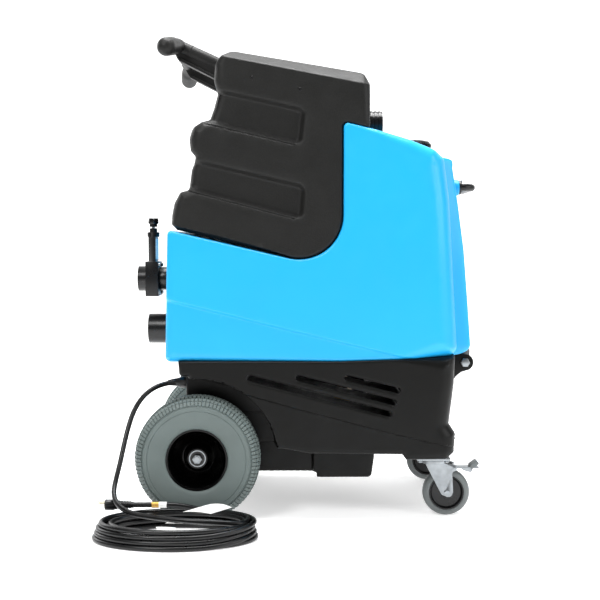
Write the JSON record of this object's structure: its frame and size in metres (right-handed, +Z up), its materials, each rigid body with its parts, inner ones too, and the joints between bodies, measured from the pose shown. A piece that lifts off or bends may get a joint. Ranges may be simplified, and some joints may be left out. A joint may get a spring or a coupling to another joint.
{
  "type": "carpet cleaner machine",
  "caption": "Upright carpet extractor: black base tub on large rear wheels and casters, tilting blue solution tank, ribbed black recovery tank, push handle, drain valve, coiled cord.",
  "frame": {"origin": "on the floor, in the middle of the machine's length and width, measured without its cord", "axes": "+X towards the casters at the front, +Y across the machine, +Z up"},
  "size_m": [0.796, 0.732, 1.017],
  "materials": {
    "blue_polyethylene": "rotomoulded, satin",
    "black_polyethylene": "rotomoulded, textured",
    "black_moulding": "moulded",
    "black_switch": "moulded",
    "rim_enamel": "gloss black",
    "grey_tyre": "foam filled, grey",
    "grey_rubber": "moulded",
    "caster_nylon": "moulded",
    "zinc_steel": "zinc plated",
    "white_pvc": "extruded",
    "motor_metal": "cast and painted",
    "pump_brass": "machined",
    "gauge_rim": "polished",
    "gauge_red": "moulded",
    "gauge_lens": "clear",
    "cord_jacket": "moulded, satin",
    "tag_card": "blank card"
  },
  "bodies": {
    "base": {"base_tub": "black_polyethylene", "base_bolts": "zinc_steel", "rear_axle": "zinc_steel", "axle_nuts_and_spacers": "zinc_steel", "axle_brackets": "zinc_steel", "caster_plates": "zinc_steel", "vacuum_motor_rear": "motor_metal", "vacuum_motor_front": "motor_metal", "solution_pump": "motor_metal", "pump_head": "pump_brass", "inline_heater": "motor_metal", "wiring_box": "black_moulding", "solution_quick_coupler": "pump_brass", "cord_gland": "black_moulding", "power_cord_drop": "cord_jacket", "cord_coil": "cord_jacket", "plug_body": "cord_jacket", "plug_prongs": "pump_brass", "cord_tags": "tag_card"},
    "tanks": {"solution_tank": "blue_polyethylene", "hinge_brackets": "zinc_steel", "fill_neck": "black_moulding", "front_handle": "black_moulding", "tank_screws": "zinc_steel", "recovery_tank": "black_polyethylene", "vacuum_inlet_spigot": "black_moulding", "standpipe": "white_pvc", "push_handle": "black_polyethylene", "valve_coupling": "black_moulding", "valve_body": "black_moulding", "hose_port": "black_moulding", "control_panel": "black_moulding", "gauge_case": "gauge_rim", "gauge_window": "gauge_lens"},
    "fill_cap": {"fill_cap": "black_moulding"},
    "recovery_lid": {"recovery_lid": "black_moulding"},
    "float": {"shut_off_float": "white_pvc"},
    "drain_gate": {"valve_gate": "zinc_steel", "valve_knob": "black_switch"},
    "gauge_needle": {"gauge_needle": "gauge_red"},
    "rocker_1": {"rocker_switch_1": "black_switch"},
    "rocker_2": {"rocker_switch_2": "black_switch"},
    "rocker_3": {"rocker_switch_3": "black_switch"},
    "rocker_4": {"rocker_switch_4": "black_switch"},
    "rear_wheel_near": {"rear_tyre_near": "grey_tyre", "rear_rim_near": "rim_enamel", "wheel_bearings_near": "zinc_steel"},
    "caster_near": {"caster_fork_near": "zinc_steel"},
    "caster_wheel_near": {"caster_tyre_near": "grey_rubber", "caster_core_near": "caster_nylon"},
    "brake_pedal_near": {"brake_pedal_near": "zinc_steel", "pedal_pad_near": "grey_rubber"},
    "rear_wheel_far": {"rear_tyre_far": "grey_tyre", "rear_rim_far": "rim_enamel", "wheel_bearings_far": "zinc_steel"},
    "caster_far": {"caster_fork_far": "zinc_steel"},
    "caster_wheel_far": {"caster_tyre_far": "grey_rubber", "caster_core_far": "caster_nylon"},
    "brake_pedal_far": {"brake_pedal_far": "zinc_steel", "pedal_pad_far": "grey_rubber"}
  },
  "joints": [
    {"name": "tank_tilt", "type": "hinge", "parent": "base", "child": "tanks", "pos_m": [0.337, 0, 0.323], "axis": [0, 1, 0], "range_deg": [0, 70]},
    {"name": "rear_wheel_near_spin", "type": "hinge", "parent": "base", "child": "rear_wheel_near", "pos_m": [-0.232, -0.2175, 0.1315], "axis": [0, 1, 0], "continuous": true},
    {"name": "caster_near_swivel", "type": "hinge", "parent": "base", "child": "caster_near", "pos_m": [0.268, -0.175, 0.117], "axis": [0, 0, 1], "continuous": true},
    {"name": "caster_wheel_near_spin", "type": "hinge", "parent": "caster_near", "child": "caster_wheel_near", "pos_m": [0.293, -0.175, 0.05], "axis": [0, 1, 0], "continuous": true},
    {"name": "brake_pedal_near_press", "type": "hinge", "parent": "caster_near", "child": "brake_pedal_near", "pos_m": [0.309, -0.175, 0.1035], "axis": [0, 1, 0], "range_deg": [0, 15]},
    {"name": "rear_wheel_far_spin", "type": "hinge", "parent": "base", "child": "rear_wheel_far", "pos_m": [-0.232, 0.2175, 0.1315], "axis": [0, 1, 0], "continuous": true},
    {"name": "caster_far_swivel", "type": "hinge", "parent": "base", "child": "caster_far", "pos_m": [0.268, 0.175, 0.117], "axis": [0, 0, 1], "continuous": true},
    {"name": "caster_wheel_far_spin", "type": "hinge", "parent": "caster_far", "child": "caster_wheel_far", "pos_m": [0.293, 0.175, 0.05], "axis": [0, 1, 0], "continuous": true},
    {"name": "brake_pedal_far_press", "type": "hinge", "parent": "caster_far", "child": "brake_pedal_far", "pos_m": [0.309, 0.175, 0.1035], "axis": [0, 1, 0], "range_deg": [0, 15]},
    {"name": "drain_gate_lift", "type": "slide", "parent": "tanks", "child": "drain_gate", "axis": [0, 0, 1], "range_m": [0, 0.035]},
    {"name": "fill_cap_lift", "type": "slide", "parent": "tanks", "child": "fill_cap", "axis": [0, 0, 1], "range_m": [0, 0.08]},
    {"name": "recovery_lid_lift", "type": "slide", "parent": "tanks", "child": "recovery_lid", "axis": [0.1687, 0, 0.9857], "range_m": [0, 0.1]},
    {"name": "float_rise", "type": "slide", "parent": "tanks", "child": "float", "axis": [0, 0, 1], "range_m": [0, 0.03]},
    {"name": "rocker_1_press", "type": "hinge", "parent": "tanks", "child": "rocker_1", "pos_m": [-0.281, 0.035, 0.472], "axis": [0, 1, 0], "range_deg": [0, 13]},
    {"name": "rocker_2_press", "type": "hinge", "parent": "tanks", "child": "rocker_2", "pos_m": [-0.281, 0.065, 0.472], "axis": [0, 1, 0], "range_deg": [0, 13]},
    {"name": "rocker_3_press", "type": "hinge", "parent": "tanks", "child": "rocker_3", "pos_m": [-0.281, 0.095, 0.472], "axis": [0, 1, 0], "range_deg": [0, 13]},
    {"name": "rocker_4_press", "type": "hinge", "parent": "tanks", "child": "rocker_4", "pos_m": [-0.281, 0.125, 0.472], "axis": [0, 1, 0], "range_deg": [0, 13]},
    {"name": "gauge_needle_swing", "type": "hinge", "parent": "tanks", "child": "gauge_needle", "pos_m": [-0.285, 0.155, 0.52], "axis": [1, 0, 0], "range_deg": [0, 270]}
  ]
}
